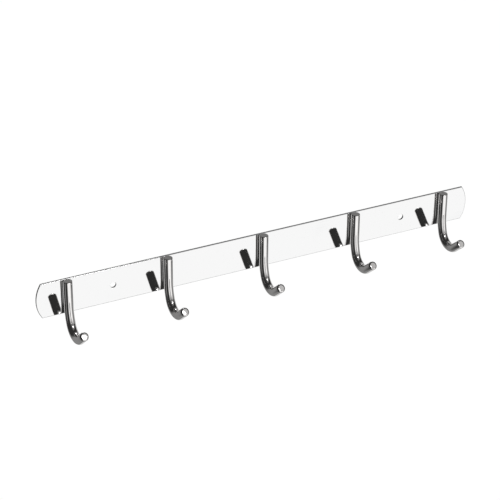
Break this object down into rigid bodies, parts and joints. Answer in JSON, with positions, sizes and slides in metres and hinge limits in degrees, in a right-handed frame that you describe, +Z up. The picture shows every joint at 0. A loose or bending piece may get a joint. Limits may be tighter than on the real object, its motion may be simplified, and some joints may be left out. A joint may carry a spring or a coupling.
{
  "type": "wall hook rack",
  "caption": "Wall-mounted rail of J-shaped coat hooks: bent round rods on a flat polished steel strip with rounded ends and screw holes.",
  "frame": {"origin": "middle of the strip's back face, on the wall, midway between the two wall screw holes", "axes": "+X along the strip to the right as seen from the front, +Y into the wall, +Z up; the hooks stand out towards -Y"},
  "size_m": [0.4, 0.0395, 0.049],
  "materials": {
    "plate_steel": "mirror polished stainless steel strip",
    "hook_steel": "mirror polished stainless steel rod",
    "screw_steel": "plain turned stainless steel"
  },
  "bodies": {
    "root": {"back_plate": "plate_steel", "hook_1": "hook_steel", "hook_2": "hook_steel", "hook_3": "hook_steel", "hook_4": "hook_steel", "hook_5": "hook_steel", "hook_1_screws": "screw_steel", "hook_2_screws": "screw_steel", "hook_3_screws": "screw_steel", "hook_4_screws": "screw_steel", "hook_5_screws": "screw_steel"}
  },
  "joints": []
}
